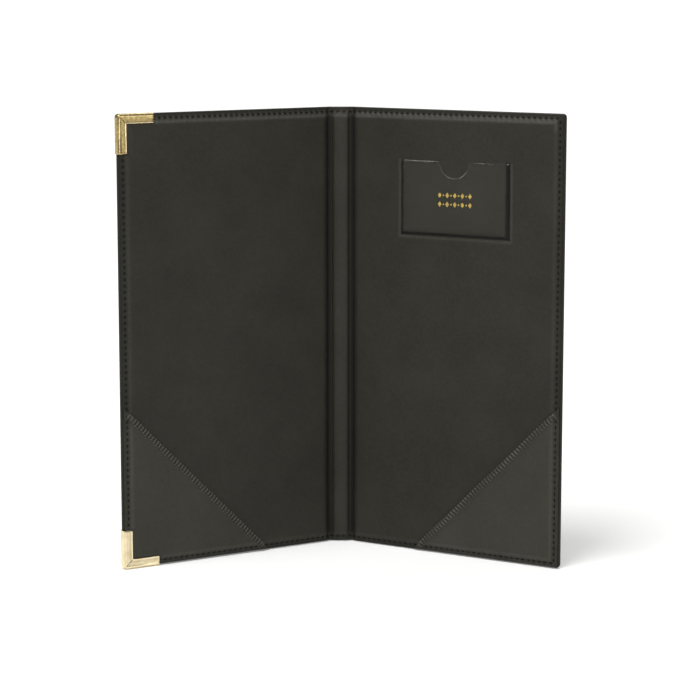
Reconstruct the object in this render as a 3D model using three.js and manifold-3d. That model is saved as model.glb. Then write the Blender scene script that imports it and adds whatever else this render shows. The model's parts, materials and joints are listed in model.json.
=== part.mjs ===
// Bill folder: two padded leatherette covers joined by a padded spine, standing open in a V.
// Millimetres, +Z up, the spine at the back and the open side towards -Y.
// Section names: u runs from a hinge line to the cover's outer edge, v runs up,
// w runs through the thickness from the board's mid-plane, plus towards the inside.

import * as THREE from 'three';
import { mergeVertices } from 'three/addons/utils/BufferGeometryUtils.js';
import Module from 'manifold-3d';

const wasm = await Module();
wasm.setup();

// Folder
const coverWidth = 140;
const coverHeight = 254;
const openingAngle = 120;
const glueLine = 0.1;

// Sheet goods
const boardThickness = 1.5;
const skinThickness = 0.6;
const liningThickness = 0.6;
const innerPadRise = 1;
const outerPadRise = 1;

// Turned and sewn edge
const stitchMargin = 3.5;
const seamShoulderGap = 0.7;
const shoulderWidth = 3.8;
const turnIn = 12;
const lipEdge = 0.3;
const skiveWidth = 4;
const liningInset = 0.8;
const boardInset = 1.2;

// Spine and its two grooves
const hingeSpacing = 13.3;
const grooveWidth = 3.4;
const grooveSlope = 0.8;
const hingeShoulder = 3;
const hingeGap = 0.3;
const ribRise = 0.7;
const ribCrown = 1.8;

// Corner pockets
const pocketLeg = 88.6;
const pocketThickness = 0.6;
const pocketHemWidth = 3;
const pocketHemRise = 0.4;

// Card pocket of clear film
const cardPocketWidth = 68;
const cardPocketHeight = 42.5;
const cardPocketBelowTop = 28.7;
const cardPocketFromSpine = 39.8;
const filmThickness = 0.3;
const cardSlot = 0.6;
const weldWidth = 1.4;
const weldSlope = 0.8;
const thumbNotchRadius = 9.5;

// Metal corners of the front cover
const cornerLeg = 22;
const cornerWidth = 5.6;
const cornerMetal = 0.4;
const cornerEmboss = 0.1;
const cornerBevel = 0.7;
const cornerRoll = 1.2;
const cornerClearance = 0.1;

// Levels through the thickness
const boardFace = boardThickness / 2;
const onBoard = boardFace + glueLine;
const lipTop = onBoard + skinThickness;
const hemLevel = lipTop + glueLine;
const grooveFace = glueLine / 2;
const pivotLevel = grooveFace + liningThickness;
const foldDepth = skinThickness + glueLine;
const hemFront = hemLevel + liningThickness;
const hemBack = onBoard + skinThickness;

// Distances in from a sewn edge
const shoulderStart = stitchMargin + seamShoulderGap;
const shoulderLow = shoulderStart + shoulderWidth * 0.15;
const shoulderMid = shoulderStart + shoulderWidth * 0.45;
const shoulderFull = shoulderStart + shoulderWidth;
const skiveStart = turnIn - skiveWidth;
const lipEnd = turnIn + lipEdge;

// Distances out from a hinge line
const coverReach = coverWidth - hingeSpacing / 2;
const grooveHalf = grooveWidth / 2;
const boardStart = grooveHalf + grooveSlope;
const foamStart = boardStart + hingeShoulder * 0.2;
const hingeFull = boardStart + hingeShoulder;

// Half widths across the spine
const spineHalf = hingeSpacing / 2 - hingeGap / 2;
const ribFoot = hingeSpacing / 2 - grooveHalf;
const ribEdge = ribFoot - grooveSlope;
const ribFoam = ribCrown + (ribEdge - ribCrown) * 0.6;

// The corner's rolled edge stays outside the square inner corner of its channel
const rollPerMetal = 3.3;
const edgeRoll = Math.min(cornerRoll, cornerMetal * rollPerMetal);

// Metal corners press the padding down round their legs
const pressMargin = 0.3;
const pressSlope = 2.1;
const foamClear = 1;

// Cuts run past what they cut: this far over an edge, and this far each way through the thickness
const overcut = 1;
const cutReach = 10;

// Grid lines closer than this are one line
const leastSpacing = 0.25;

const clamp = (value, low, high) => Math.min(Math.max(value, low), high);
const mix = (a, b, t) => a + (b - a) * t;
const ramp = (value, from, to) => clamp((value - from) / (to - from), 0, 1);

// Quarter-round rise from 0 to 1
function shoulder(t) {
  const s = clamp(t, 0, 1);
  return Math.sqrt(1 - (1 - s) * (1 - s));
}

function materialOf(color, roughness, metalness = 0) {
  return new THREE.MeshStandardMaterial({ color, roughness, metalness });
}

// Solids: every piece is a closed manifold whose faces point outwards

function solidFrom(positions, triangles) {
  let volume = 0;
  for (let i = 0; i < triangles.length; i += 3) {
    const [a, b, c] = [0, 1, 2].map((k) => {
      return new THREE.Vector3().fromArray(positions, triangles[i + k] * 3);
    });
    volume += a.dot(b.cross(c));
  }
  const ordered = volume > 0 ? triangles : triangles.slice().reverse();
  return new wasm.Manifold(new wasm.Mesh({
    numProp: 3,
    vertProperties: new Float32Array(positions),
    triVerts: new Uint32Array(ordered),
  }));
}

function solidOf(geometry) {
  geometry.deleteAttribute('normal');
  geometry.deleteAttribute('uv');
  const merged = mergeVertices(geometry, 1e-4);
  return solidFrom(Array.from(merged.attributes.position.array), Array.from(merged.index.array));
}

function meshOf(name, solid, material) {
  const { numProp, vertProperties, triVerts } = solid.getMesh();
  const positions = new Float32Array((vertProperties.length / numProp) * 3);
  for (let i = 0; i < positions.length / 3; i += 1) {
    for (let axis = 0; axis < 3; axis += 1) {
      positions[i * 3 + axis] = vertProperties[i * numProp + axis];
    }
  }
  const geometry = new THREE.BufferGeometry();
  geometry.setAttribute('position', new THREE.BufferAttribute(positions, 3));
  geometry.setIndex(Array.from(triVerts));
  geometry.computeVertexNormals();
  const mesh = new THREE.Mesh(geometry, material);
  mesh.name = name;
  return mesh;
}

// One sheet: the space between two height surfaces over a grid of lines across and up.
// Neighbouring sheets share their grid lines and fold lines, so they nest without touching.
function sheet(across, up, lower, upper, place) {
  const positions = [];
  const triangles = [];
  const columns = across.length;
  const rows = up.length;
  for (const surface of [lower, upper]) {
    for (const v of up) {
      for (const u of across) {
        positions.push(...place(u, surface(u, v), v));
      }
    }
  }
  const at = (layer, row, column) => (layer * rows + row) * columns + column;
  const quad = (a, b, c, d) => triangles.push(a, b, c, a, c, d);
  for (let row = 0; row < rows - 1; row += 1) {
    const lowerHalf = (up[row] + up[row + 1]) / 2 < coverHeight / 2;
    for (let column = 0; column < columns - 1; column += 1) {
      for (const layer of [0, 1]) {
        const corners = [
          at(layer, row, column),
          at(layer, row, column + 1),
          at(layer, row + 1, column + 1),
          at(layer, row + 1, column),
        ];
        if (lowerHalf) {
          corners.push(corners.shift());
        }
        if (layer === 1) {
          corners.splice(1, 3, corners[3], corners[2], corners[1]);
        }
        quad(...corners);
      }
    }
  }
  for (let column = 0; column < columns - 1; column += 1) {
    const last = rows - 1;
    quad(at(0, 0, column), at(1, 0, column), at(1, 0, column + 1), at(0, 0, column + 1));
    quad(at(0, last, column), at(0, last, column + 1), at(1, last, column + 1), at(1, last, column));
  }
  for (let row = 0; row < rows - 1; row += 1) {
    const last = columns - 1;
    quad(at(0, row, 0), at(0, row + 1, 0), at(1, row + 1, 0), at(1, row, 0));
    quad(at(0, row, last), at(1, row, last), at(1, row + 1, last), at(0, row + 1, last));
  }
  return solidFrom(positions, triangles);
}

// A block with square corners, given by its ranges across, through and up
function block(u, w, v, place) {
  return sheet(u, v, () => w[0], () => w[1], place);
}

// A flat outline in u and v, cut right through the thickness
function cutter(outline, place) {
  const depth = 4 * cutReach;
  const geometry = new THREE.ExtrudeGeometry(new THREE.Shape(outline), {
    depth,
    bevelEnabled: false,
    curveSegments: 24,
  });
  const position = geometry.attributes.position;
  for (let i = 0; i < position.count; i += 1) {
    const point = place(position.getX(i), position.getZ(i) - depth / 2, position.getY(i));
    position.setXYZ(i, ...point);
  }
  return solidOf(geometry);
}

// Grid lines

const sewnLines = [shoulderStart, shoulderLow, shoulderMid, shoulderFull, turnIn, lipEnd];
const cornerLines = [cornerWidth, cornerLeg].flatMap((size) => {
  return [size + pressMargin, size + pressMargin + pressSlope];
});

// Distances in from a sewn edge, in order; a corner's lines replace those close to them
function linesIn(first, withCorners) {
  const corner = withCorners ? cornerLines : [];
  const apart = sewnLines.filter((line) => {
    return corner.every((other) => Math.abs(line - other) > leastSpacing);
  });
  const lines = [...apart, ...corner].filter((line) => line > first + leastSpacing);
  return [first, ...lines.sort((a, b) => a - b)];
}

function linesUp(first, withCorners) {
  const lines = linesIn(first, withCorners);
  return [...lines, ...lines.map((distance) => coverHeight - distance).reverse()];
}

function linesOut(start, end, withCorners) {
  const hinge = [grooveHalf, boardStart, foamStart, hingeFull].filter((u) => u > start);
  const outer = linesIn(end, withCorners).map((distance) => coverReach - distance).reverse();
  return [start, ...hinge, ...outer];
}

// Cover surfaces

const edgeDistance = (u, v) => Math.min(coverReach - u, v, coverHeight - v);
const endDistance = (v) => Math.min(v, coverHeight - v);
const turnedIn = (distance) => 1 - ramp(distance, skiveStart, turnIn);

// Distance out from the two legs of a metal corner
function legDistance(u, v) {
  const out = coverReach - u;
  const end = endDistance(v);
  const alongEnd = Math.max(out - cornerLeg, end - cornerWidth, 0);
  const alongSide = Math.max(out - cornerWidth, end - cornerLeg, 0);
  return Math.min(alongEnd, alongSide);
}

function coverPadding(u, v, withCorners) {
  const sewn = shoulder((edgeDistance(u, v) - shoulderStart) / shoulderWidth);
  const hinge = shoulder((u - boardStart) / hingeShoulder);
  const pressed = withCorners ? shoulder((legDistance(u, v) - pressMargin) / pressSlope) : 1;
  return Math.min(sewn, hinge, pressed);
}

function coverSurfaces(withCorners) {
  const onto = (u) => ramp(u, grooveHalf, boardStart);
  const padding = (u, v) => coverPadding(u, v, withCorners);
  const lip = (u, v) => (skinThickness + glueLine) * turnedIn(edgeDistance(u, v));
  const liningUnder = (u, v) => mix(grooveFace, hemLevel + innerPadRise * padding(u, v), onto(u));
  const skinInside = (u, v) => {
    const groove = -grooveFace - foldDepth * turnedIn(endDistance(v));
    return mix(groove, -onBoard - outerPadRise * padding(u, v), onto(u));
  };
  return {
    liningUnder,
    liningTop: (u, v) => liningUnder(u, v) + liningThickness,
    skinInside,
    skinOutside: (u, v) => skinInside(u, v) - skinThickness,
    foldTop: (u, v) => mix(-grooveFace, onBoard + lip(u, v) - glueLine, onto(u)),
    innerFoamUnder: (u, v) => onBoard + lip(u, v),
    innerFoamTop: (u, v) => Math.max(liningUnder(u, v) - glueLine, onBoard + lip(u, v) + glueLine / 2),
    outerFoamTop: () => -onBoard,
    outerFoamUnder: (u, v) => Math.min(skinInside(u, v) + glueLine, -onBoard - glueLine / 2),
  };
}

// The outer sheet: a tray whose three sewn edges wrap the board and turn in over it
function turnedTray(surfaces, across, up, cavity, isTurned, place) {
  const { skinOutside, skinInside, foldTop } = surfaces;
  const shell = sheet(across, up, skinOutside, (u, v) => {
    return isTurned(u, v) ? foldTop(u, v) : skinInside(u, v);
  }, place);
  const floor = (u, v) => skinInside(u, v) + (isTurned(u, v) ? 0 : glueLine / 2);
  const roof = (u, v) => (isTurned(u, v) ? onBoard - glueLine : cutReach);
  return shell.subtract(sheet(cavity.across, cavity.up, floor, roof, place));
}

function buildCover({ side, names, looks, withCorners }) {
  const place = (u, w, v) => [side * u, pivotLevel - w, v];
  const surfaces = coverSurfaces(withCorners);
  const isTurned = (u, v) => edgeDistance(u, v) < turnIn + lipEdge / 2;
  const group = new THREE.Group();
  group.position.set((side * hingeSpacing) / 2, -pivotLevel, 0);
  group.rotation.z = -side * THREE.MathUtils.degToRad((180 - openingAngle) / 2);
  const add = (name, solid, material) => group.add(meshOf(name, solid, material));

  const boardAcross = [boardStart, coverReach - boardInset];
  const boardUp = [boardInset, coverHeight - boardInset];
  add(names.board, block(boardAcross, [-boardFace, boardFace], boardUp, place), looks.board);

  const foamUp = linesUp(shoulderLow, withCorners);
  const foamAcross = linesOut(foamStart, shoulderLow, withCorners).filter((u) => u >= foamStart);
  let innerFoam = sheet(foamAcross, foamUp, surfaces.innerFoamUnder, surfaces.innerFoamTop, place);
  let outerFoam = sheet(foamAcross, foamUp, surfaces.outerFoamUnder, surfaces.outerFoamTop, place);
  if (withCorners) {
    for (const relief of cornerReliefs(place)) {
      innerFoam = innerFoam.subtract(relief);
      outerFoam = outerFoam.subtract(relief);
    }
  }
  add(names.innerFoam, innerFoam, looks.foam);
  add(names.outerFoam, outerFoam, looks.foam);

  const across = linesOut(hingeGap / 2, 0, withCorners);
  const wall = skinThickness;
  let cavity = {
    across: linesOut(boardStart - glueLine, wall, withCorners),
    up: linesUp(wall, withCorners),
  };
  let skin = turnedTray(surfaces, across, linesUp(0, withCorners), cavity, isTurned, place);
  if (withCorners) {
    skin = seatCorners(skin, place);
  }
  add(names.skin, skin, looks.skin);

  const liningAcross = linesOut(hingeGap / 2, liningInset, withCorners);
  const liningUp = linesUp(liningInset, withCorners);
  const lining = sheet(liningAcross, liningUp, surfaces.liningUnder, surfaces.liningTop, place);
  add(names.lining, lining, looks.lining);
  add(names.pocket, buildCornerPocket(surfaces, withCorners, place), looks.pocket);
  return { group, place, surfaces };
}

// The foam stops short of a metal corner's legs
function cornerReliefs(place) {
  const near = cornerWidth + foamClear;
  const far = cornerLeg + foamClear;
  const reliefs = [];
  for (const [out, up] of [[far, near], [near, far]]) {
    const across = [coverReach - out, coverReach + overcut];
    for (const ends of [[-overcut, up], [coverHeight - up, coverHeight + overcut]]) {
      reliefs.push(block(across, [-cutReach, cutReach], ends, place));
    }
  }
  return reliefs;
}

// Under each metal corner the turned edge is pressed in, so the metal ends flush with it
function seatCorners(skin, place) {
  const seat = cornerMetal + cornerClearance;
  const across = [coverReach - cornerLeg - cornerClearance, coverReach + overcut];
  let seated = skin;
  for (const [cutFrom, cutTo, fillFrom, fillTo] of [
    [-overcut, seat, seat, seat + skinThickness],
    [coverHeight - seat, coverHeight + overcut, coverHeight - seat - skinThickness, coverHeight - seat],
  ]) {
    const fill = block([across[0], coverReach], [-hemBack, lipTop], [fillFrom, fillTo], place);
    const cut = block(across, [-cutReach, cutReach], [cutFrom, cutTo], place);
    seated = seated.add(fill).subtract(cut);
  }
  return seated;
}

// A triangle of leatherette over the lower outer corner, sewn in with the edge;
// its open edge runs at 45 degrees and carries a folded hem
function buildCornerPocket({ liningTop }, withCorners, place) {
  const under = (u, v) => liningTop(u, v) + glueLine;
  const outer = coverReach - liningInset;
  const diagonal = pocketLeg - liningInset;
  const across = linesOut(coverReach - pocketLeg, liningInset, withCorners);
  const up = linesUp(liningInset, withCorners).filter((v) => v < coverHeight / 2);
  up.push(pocketLeg);
  const body = sheet(across, up, under, (u, v) => under(u, v) + pocketThickness, place);
  const thick = pocketThickness + pocketHemRise;
  const raised = sheet(across, up, under, (u, v) => under(u, v) + thick, place);
  const triangle = cutter([
    new THREE.Vector2(outer + overcut, -overcut),
    new THREE.Vector2(outer - diagonal, -overcut),
    new THREE.Vector2(outer - diagonal, liningInset),
    new THREE.Vector2(outer, liningInset + diagonal),
    new THREE.Vector2(outer + overcut, liningInset + diagonal),
  ], place);
  const inset = pocketHemWidth * Math.SQRT2;
  const band = cutter([
    new THREE.Vector2(outer - diagonal, liningInset - inset),
    new THREE.Vector2(outer - diagonal, liningInset),
    new THREE.Vector2(outer, liningInset + diagonal),
    new THREE.Vector2(outer + inset, liningInset + diagonal),
  ], place);
  const hemRoom = shoulderFull;
  const hemZone = block([0, coverReach - hemRoom], [-cutReach, cutReach], [hemRoom, coverHeight], place);
  return body.intersect(triangle).add(raised.intersect(band).intersect(hemZone));
}

// A folded metal corner: one channel round the edge of the cover, mitred where its legs meet.
// The profile runs round the channel as pairs of distance in from the edge and w.
function channelProfile(front, back, emboss) {
  const face = cornerMetal + emboss;
  const bevel = emboss > 0 ? cornerBevel : cornerBevel / 2;
  const lipFace = cornerMetal * 0.5;
  return [
    new THREE.Vector2(cornerWidth, front),
    new THREE.Vector2(cornerWidth, front + lipFace),
    new THREE.Vector2(cornerWidth - bevel, front + face),
    ...rolledEdge(front + face - edgeRoll, Math.PI / 2),
    ...rolledEdge(back - face + edgeRoll, Math.PI),
    new THREE.Vector2(cornerWidth - bevel, back - face),
    new THREE.Vector2(cornerWidth, back - lipFace),
    new THREE.Vector2(cornerWidth, back),
    new THREE.Vector2(cornerMetal, back),
    new THREE.Vector2(cornerMetal, front),
  ];
}

// A quarter turn of the channel's outer face, from the angle given
function rolledEdge(centre, from) {
  const steps = 4;
  return Array.from({ length: steps + 1 }, (_, i) => {
    const angle = from + ((Math.PI / 2) * i) / steps;
    return new THREE.Vector2(
      edgeRoll + edgeRoll * Math.cos(angle),
      centre + edgeRoll * Math.sin(angle),
    );
  });
}

function buildMetalCorner(front, atTop, place) {
  const back = -hemBack - cornerClearance;
  const full = channelProfile(front, back, cornerEmboss);
  const plain = channelProfile(front, back, 0);
  const corner = (a, b, w) => {
    const v = atTop ? coverHeight - b : b;
    return place(coverReach + cornerMetal + cornerClearance - a, w, v);
  };
  const stations = [
    plain.map(({ x, y }) => corner(x, cornerLeg, y)),
    full.map(({ x, y }) => corner(x, cornerLeg - cornerBevel, y)),
    full.map(({ x, y }) => corner(x, x, y)),
    full.map(({ x, y }) => corner(cornerLeg - cornerBevel, x, y)),
    plain.map(({ x, y }) => corner(cornerLeg, x, y)),
  ];
  const count = full.length;
  const triangles = [];
  for (let station = 0; station < stations.length - 1; station += 1) {
    for (let i = 0; i < count; i += 1) {
      const next = (i + 1) % count;
      const a = station * count + i;
      const b = station * count + next;
      triangles.push(a, b, b + count, a, b + count, a + count);
    }
  }
  const lastStation = (stations.length - 1) * count;
  for (const [a, b, c] of capTriangles(plain)) {
    triangles.push(c, b, a);
    triangles.push(lastStation + a, lastStation + b, lastStation + c);
  }
  return solidFrom(stations.flat(2), triangles);
}

// Triangles over an outline, wound the same way as its points
function capTriangles(points) {
  const caps = THREE.ShapeUtils.triangulateShape(points, []);
  const [a, b, c] = caps[0].map((index) => points[index]);
  const area = (b.x - a.x) * (c.y - a.y) - (c.x - a.x) * (b.y - a.y);
  const agree = area * THREE.ShapeUtils.area(points) > 0;
  return agree ? caps : caps.map((cap) => cap.slice().reverse());
}

// Clear film welded to the lining on three sides, open at the top with a thumb notch
function buildCardPocket({ liningTop }, place) {
  const left = cardPocketFromSpine - hingeSpacing / 2;
  const right = left + cardPocketWidth;
  const top = coverHeight - cardPocketBelowTop;
  const bottom = top - cardPocketHeight;
  const middle = (left + right) / 2;
  const raised = (u, v) => {
    const inside = Math.min(u - left, right - u, v - bottom);
    return cardSlot * ramp(inside, 0, weldSlope);
  };
  const under = (u, v) => liningTop(u, v) + glueLine + raised(u, v);
  const across = [left - weldWidth, left, left + weldSlope, right - weldSlope, right, right + weldWidth];
  const up = [bottom - weldWidth, bottom, bottom + weldSlope, top];
  const film = sheet(across, up, under, (u, v) => under(u, v) + filmThickness, place);
  const notch = new THREE.Path();
  notch.absarc(middle, top, thumbNotchRadius, Math.PI, Math.PI * 2, false);
  const outline = notch.getPoints(20);
  outline.push(new THREE.Vector2(middle + thumbNotchRadius, top + overcut));
  outline.push(new THREE.Vector2(middle - thumbNotchRadius, top + overcut));
  return film.subtract(cutter(outline, place));
}

// Spine: a narrow board strip between the grooves, padded and covered like the covers

function spineSurfaces() {
  const onto = (s) => 1 - ramp(Math.abs(s), ribEdge, ribFoot);
  const crown = (s, v) => {
    const rounding = shoulder((ribEdge - Math.abs(s)) / (ribEdge - ribCrown));
    const end = shoulder((endDistance(v) - shoulderStart) / shoulderWidth);
    return Math.min(rounding, end);
  };
  const lip = (v) => (skinThickness + glueLine) * turnedIn(endDistance(v));
  const liningUnder = (s, v) => mix(grooveFace, hemLevel + ribRise * crown(s, v), onto(s));
  const skinInside = (s, v) => {
    const groove = -grooveFace - foldDepth * turnedIn(endDistance(v));
    return mix(groove, -onBoard - ribRise * crown(s, v), onto(s));
  };
  return {
    liningUnder,
    liningTop: (s, v) => liningUnder(s, v) + liningThickness,
    skinInside,
    skinOutside: (s, v) => skinInside(s, v) - skinThickness,
    foldTop: (s, v) => mix(-grooveFace, onBoard + lip(v) - glueLine, onto(s)),
    innerFoamUnder: (s, v) => onBoard + lip(v),
    innerFoamTop: (s, v) => liningUnder(s, v) - glueLine,
    outerFoamTop: () => -onBoard,
    outerFoamUnder: (s, v) => skinInside(s, v) + glueLine,
  };
}

function buildSpine(looks) {
  const place = (s, w, v) => [s, -w, v];
  const surfaces = spineSurfaces();
  const mirrored = (widths) => [...widths.map((s) => -s), 0, ...widths.slice().reverse()];
  const across = mirrored([spineHalf, ribFoot, ribEdge, ribFoam, ribCrown]);
  const foamAcross = mirrored([ribFoam, ribCrown]);
  const isTurned = (s, v) => endDistance(v) < turnIn + lipEdge / 2;
  const group = new THREE.Group();
  const add = (name, solid, material) => group.add(meshOf(name, solid, material));

  const strip = [-ribEdge + glueLine, ribEdge - glueLine];
  const stripUp = [boardInset, coverHeight - boardInset];
  add('spine_strip', block(strip, [-boardFace, boardFace], stripUp, place), looks.board);
  const foamUp = linesUp(shoulderLow, false);
  const innerFoam = sheet(foamAcross, foamUp, surfaces.innerFoamUnder, surfaces.innerFoamTop, place);
  const outerFoam = sheet(foamAcross, foamUp, surfaces.outerFoamUnder, surfaces.outerFoamTop, place);
  add('spine_inner_foam', innerFoam, looks.foam);
  add('spine_outer_foam', outerFoam, looks.foam);
  const cavity = { across: mirrored([ribEdge, ribFoam, ribCrown]), up: linesUp(skinThickness, false) };
  const skin = turnedTray(surfaces, across, linesUp(0, false), cavity, isTurned, place);
  add('spine_skin', skin, looks.skin);
  const liningUp = linesUp(liningInset, false);
  const lining = sheet(across, liningUp, surfaces.liningUnder, surfaces.liningTop, place);
  add('spine_lining', lining, looks.lining);
  return group;
}

function makeLooks() {
  return {
    board: materialOf(0x8d8574, 0.95),
    foam: materialOf(0xd9d6cc, 1),
    skin: materialOf(0x33322d, 0.55),
    lining: materialOf(0x36352f, 0.6),
    pocket: materialOf(0x3e3d38, 0.6),
    metal: materialOf(0xb8a06a, 0.3, 1),
    film: materialOf(0x5a5954, 0.15),
  };
}

const looks = makeLooks();

const front = buildCover({
  side: -1,
  names: {
    board: 'front_board',
    innerFoam: 'front_inner_foam',
    outerFoam: 'front_outer_foam',
    skin: 'front_skin',
    lining: 'front_lining',
    pocket: 'front_corner_pocket',
  },
  looks,
  withCorners: true,
});
const pocketStack = glueLine + pocketThickness;
const topCorner = buildMetalCorner(hemFront + cornerClearance, true, front.place);
const bottomCorner = buildMetalCorner(hemFront + pocketStack + cornerClearance, false, front.place);
front.group.add(meshOf('top_metal_corner', topCorner, looks.metal));
front.group.add(meshOf('bottom_metal_corner', bottomCorner, looks.metal));

const back = buildCover({
  side: 1,
  names: {
    board: 'back_board',
    innerFoam: 'back_inner_foam',
    outerFoam: 'back_outer_foam',
    skin: 'back_skin',
    lining: 'back_lining',
    pocket: 'back_corner_pocket',
  },
  looks,
  withCorners: false,
});
back.group.add(meshOf('card_pocket', buildCardPocket(back.surfaces, back.place), looks.film));

const folder = new THREE.Group();
folder.add(buildSpine(looks), front.group, back.group);

// The origin lies on the standing surface, below the middle of the folder's box
const bounds = new THREE.Box3().setFromObject(folder, true);
const middle = bounds.getCenter(new THREE.Vector3());
folder.position.set(-middle.x, -middle.y, -bounds.min.z);

export default folder;
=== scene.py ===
import json
import math

import bmesh
import bpy
import numpy as np
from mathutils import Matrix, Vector, noise


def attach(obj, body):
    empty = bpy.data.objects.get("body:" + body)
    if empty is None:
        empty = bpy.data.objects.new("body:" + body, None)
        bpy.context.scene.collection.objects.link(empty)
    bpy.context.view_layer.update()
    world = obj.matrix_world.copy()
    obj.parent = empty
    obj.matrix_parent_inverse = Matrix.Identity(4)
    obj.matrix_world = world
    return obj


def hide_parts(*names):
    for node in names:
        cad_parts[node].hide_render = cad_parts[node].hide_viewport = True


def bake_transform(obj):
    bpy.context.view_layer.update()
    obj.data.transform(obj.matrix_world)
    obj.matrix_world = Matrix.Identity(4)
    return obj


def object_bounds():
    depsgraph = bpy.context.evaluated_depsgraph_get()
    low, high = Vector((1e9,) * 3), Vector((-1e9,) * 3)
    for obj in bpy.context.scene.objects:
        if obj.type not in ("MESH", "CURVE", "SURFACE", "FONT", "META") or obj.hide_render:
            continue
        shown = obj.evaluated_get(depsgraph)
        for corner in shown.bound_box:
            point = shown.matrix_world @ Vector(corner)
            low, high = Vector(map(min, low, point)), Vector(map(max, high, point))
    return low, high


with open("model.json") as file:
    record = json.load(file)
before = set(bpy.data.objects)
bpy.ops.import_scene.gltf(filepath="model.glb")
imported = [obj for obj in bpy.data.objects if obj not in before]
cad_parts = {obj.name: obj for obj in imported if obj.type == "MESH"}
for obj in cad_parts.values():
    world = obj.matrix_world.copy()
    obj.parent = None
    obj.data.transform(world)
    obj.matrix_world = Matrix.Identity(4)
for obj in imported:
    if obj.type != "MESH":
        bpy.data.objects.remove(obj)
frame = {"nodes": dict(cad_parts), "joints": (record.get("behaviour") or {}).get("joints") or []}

cadLow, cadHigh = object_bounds()
print("frame loaded")

# Lengths in this script are millimetres; places in the scene are metres.
metre = 0.001

joints = {joint["child"]: joint for joint in frame["joints"]}
hingePoint = {
    -1: Vector(joints["front_cover"]["pos_m"]),
    1: Vector(joints["back_cover"]["pos_m"]),
}
foldAngle = math.radians(-joints["back_cover"]["range_deg"][0])
hingeHalf = (hingePoint[1].x - hingePoint[-1].x) / 2 / metre
height = cadHigh.z / metre

# side is -1 on the front cover and 1 on the back cover.
bodyOf = {-1: "front_cover", 1: "back_cover"}
prefixOf = {-1: "front", 1: "back"}

# One cover's section, as it lies on the bench: s runs from the spine's middle to the outer edge,
# v runs up, w runs through the thickness, 0 at the middle of the board and plus inside.
section = {
    "reach": 140.0,          # spine middle to outer edge
    "pivot": 0.65,           # level of the groove's floor, where the cover turns
    "hemInside": 2.15,
    "hemOutside": 1.45,
    "panelInside": 3.15,
    "panelOutside": 2.45,
    "ribInside": 2.9,
    "ribOutside": 2.15,
    "grooveInside": 0.65,
    "grooveOutside": 0.65,
    "grooveHalf": 1.7,
    "panelFull": 5.6,        # out from the hinge line
    "ribFoot": 4.95,
    "ribCrown": 1.4,
    "hingeTurn": 1.3,        # the sheet bends this far each side of the hinge line
    "filledInside": 1.55,    # the seam's turned layers fill the groove up to here
    "filledOutside": 1.3,
    "cornerRadius": 2.2,
}
sewing = {
    "margin": 2.9,           # edge to stitch line
    "shoulder": 4.6,         # width of the padded shoulder inside the stitches
    "endCount": 40,          # stitches from the spine's middle to the corner
    "sideCount": 72,         # stitches up the outer edge
    "channelDepth": 0.5,
    "channelHalf": 1.05,
    "pucker": 0.13,
}
metalSeat = {"leg": 22.0, "width": 5.6, "margin": 0.45, "slope": 2.2}


def place(side, s, w, v):
    # A point of a cover's section, in the scene. The sheet turns smoothly across its hinge line.
    u = s - hingeHalf
    bend = np.clip((u + section["hingeTurn"]) / (2 * section["hingeTurn"]), 0, 1)
    angle = -side * foldAngle * bend * bend * (3 - 2 * bend)
    x = side * u
    y = section["pivot"] - w
    cos, sin = np.cos(angle), np.sin(angle)
    centre = hingePoint[side]
    return np.stack([
        centre.x + (x * cos - y * sin) * metre,
        centre.y + (x * sin + y * cos) * metre,
        v * metre + np.zeros_like(x),
    ], axis=-1)


def ramp(value, start, end):
    return np.clip((value - start) / (end - start), 0, 1)


def smooth(t):
    return t * t * (3 - 2 * t)


def quarterRound(t):
    t = np.clip(t, 0, 1)
    return np.sqrt(np.maximum(1 - (1 - t) ** 2, 0))


def hump(distance, half):
    return np.exp(-(distance / half) ** 2)


def edgeDistance(s, v):
    return np.minimum(np.minimum(section["reach"] - s, v), height - v)


def roundCorner(s, v):
    # Draws in the points near the outline's outer corners, so that the corners are rounded.
    radius = section["cornerRadius"]
    a = np.clip(1 - (section["reach"] - s) / radius, 0, 1)
    b = np.clip(1 - np.minimum(v, height - v) / radius, 0, 1)
    drawnIn = 1 - np.maximum(a, b) / np.maximum(np.hypot(a, b), 1e-9)
    inwards = np.sign(height / 2 - v)
    return s - a * drawnIn * radius, v + inwards * b * drawnIn * radius


def legDistance(s, v):
    # How far a point lies outside the two legs of a metal corner.
    out = section["reach"] - s
    end = np.minimum(v, height - v)
    overEnd = np.maximum(np.maximum(out - metalSeat["leg"], end - metalSeat["width"]), 0)
    overSide = np.maximum(np.maximum(out - metalSeat["width"], end - metalSeat["leg"]), 0)
    return np.minimum(overEnd, overSide)


def padRise(side, s, v):
    # 0 on the sewn hem, 1 on the full padding.
    rise = quarterRound((edgeDistance(s, v) - sewing["margin"]) / sewing["shoulder"])
    if side < 0:
        press = quarterRound((legDistance(s, v) - metalSeat["margin"]) / metalSeat["slope"])
        rise = np.minimum(rise, press)
    return rise


def acrossLevel(s, groove, panel, rib):
    # The section half way up: rib, groove, padded panel.
    grooveHalf, foot = section["grooveHalf"], section["ribFoot"]
    onPanel = quarterRound((s - hingeHalf - grooveHalf) / (section["panelFull"] - grooveHalf))
    onRib = quarterRound((foot - np.abs(s)) / (foot - section["ribCrown"]))
    return groove + np.maximum((panel - groove) * onPanel, (rib - groove) * onRib)


def undulation(side, s, v, seed):
    # Slow hollows and swells of a sheet glued over foam.
    values = [
        0.1 * noise.noise(Vector((a / 34, b / 40, seed)))
        + 0.035 * noise.noise(Vector((a / 13, b / 15, seed + 5.5)))
        for a, b in zip(s * side, v)
    ]
    return np.array(values)


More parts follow.
